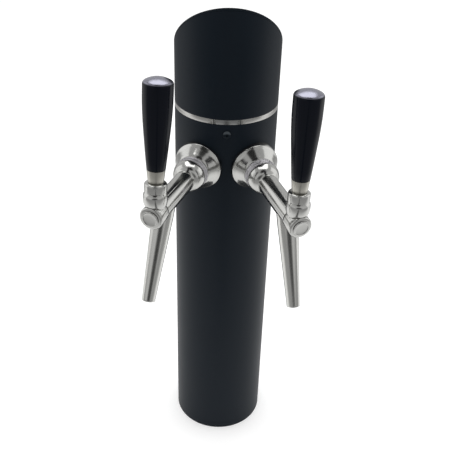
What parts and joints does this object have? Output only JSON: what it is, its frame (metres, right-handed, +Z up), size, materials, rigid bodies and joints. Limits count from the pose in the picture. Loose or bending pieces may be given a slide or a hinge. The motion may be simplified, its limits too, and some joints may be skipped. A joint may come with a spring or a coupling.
{
  "type": "beer tower dispenser",
  "caption": "Round black column with a slanted top, a bright trim ring and ball-lever taps with tapered grips and long slanted spouts.",
  "frame": {"origin": "centre of the base plate's underside, on the column's axis", "axes": "+Z up along the column, -Y to the front where the taps are, +X to the right seen from the front"},
  "size_m": [0.169, 0.2332, 0.576],
  "materials": {
    "black_coat": "satin black powder coat",
    "screw_black": "blackened steel",
    "trim_steel": "polished",
    "insert_steel": "dark satin",
    "satin_steel": "satin",
    "spout_steel": "satin polished",
    "ferrule_steel": "satin",
    "knurled_steel": "knurled",
    "polished": "polished",
    "brass": "turned",
    "white_plastic": "natural",
    "black_rubber": "moulded",
    "black_gloss": "gloss black"
  },
  "bodies": {
    "root": {"column_tube": "black_coat", "base_plate": "satin_steel", "trim_ring": "trim_steel", "trim_ring_insert": "insert_steel", "top_cap_shell": "black_coat", "top_cap_lid": "black_coat", "cap_spigot": "satin_steel", "cap_lock_screw": "screw_black", "left_escutcheon": "polished", "left_shank": "satin_steel", "left_saddle_washer": "satin_steel", "left_shank_nut": "brass", "left_product_pipe": "satin_steel", "left_pipe_nut": "brass", "left_coupling_nut": "knurled_steel", "left_faucet_body": "polished", "left_front_cap": "polished", "left_spout": "spout_steel", "left_bonnet_nut": "polished", "left_ball_washer": "white_plastic", "right_escutcheon": "polished", "right_shank": "satin_steel", "right_saddle_washer": "satin_steel", "right_shank_nut": "brass", "right_product_pipe": "satin_steel", "right_pipe_nut": "brass", "right_coupling_nut": "knurled_steel", "right_faucet_body": "polished", "right_front_cap": "polished", "right_spout": "spout_steel", "right_bonnet_nut": "polished", "right_ball_washer": "white_plastic"},
    "left_handle": {"left_lever": "satin_steel", "left_lever_collar": "polished", "left_ferrule": "ferrule_steel", "left_grip": "black_gloss"},
    "left_valve": {"left_piston": "brass", "left_valve_seal": "black_rubber", "left_valve_nut": "brass"},
    "right_handle": {"right_lever": "satin_steel", "right_lever_collar": "polished", "right_ferrule": "ferrule_steel", "right_grip": "black_gloss"},
    "right_valve": {"right_piston": "brass", "right_valve_seal": "black_rubber", "right_valve_nut": "brass"}
  },
  "joints": [
    {"name": "left_handle_pull", "type": "hinge", "parent": "root", "child": "left_handle", "pos_m": [-0.06942, -0.14657, 0.41667], "axis": [0.9251, -0.3796, 0.0122], "range_deg": [0, 27]},
    {"name": "left_valve_slide", "type": "slide", "parent": "root", "child": "left_valve", "axis": [0.3794, 0.925, 0.0192], "range_m": [0, 0.0072]},
    {"name": "right_handle_pull", "type": "hinge", "parent": "root", "child": "right_handle", "pos_m": [0.06837, -0.14738, 0.40982], "axis": [0.9345, 0.3533, -0.0435], "range_deg": [0, 27]},
    {"name": "right_valve_slide", "type": "slide", "parent": "root", "child": "right_valve", "axis": [-0.349, 0.9334, 0.0837], "range_m": [0, 0.0072]}
  ],
  "couplings": [
    {"joint": "left_valve_slide", "follows": "left_handle_pull", "m_per_rad": 0.0152},
    {"joint": "right_valve_slide", "follows": "right_handle_pull", "m_per_rad": 0.0152}
  ]
}
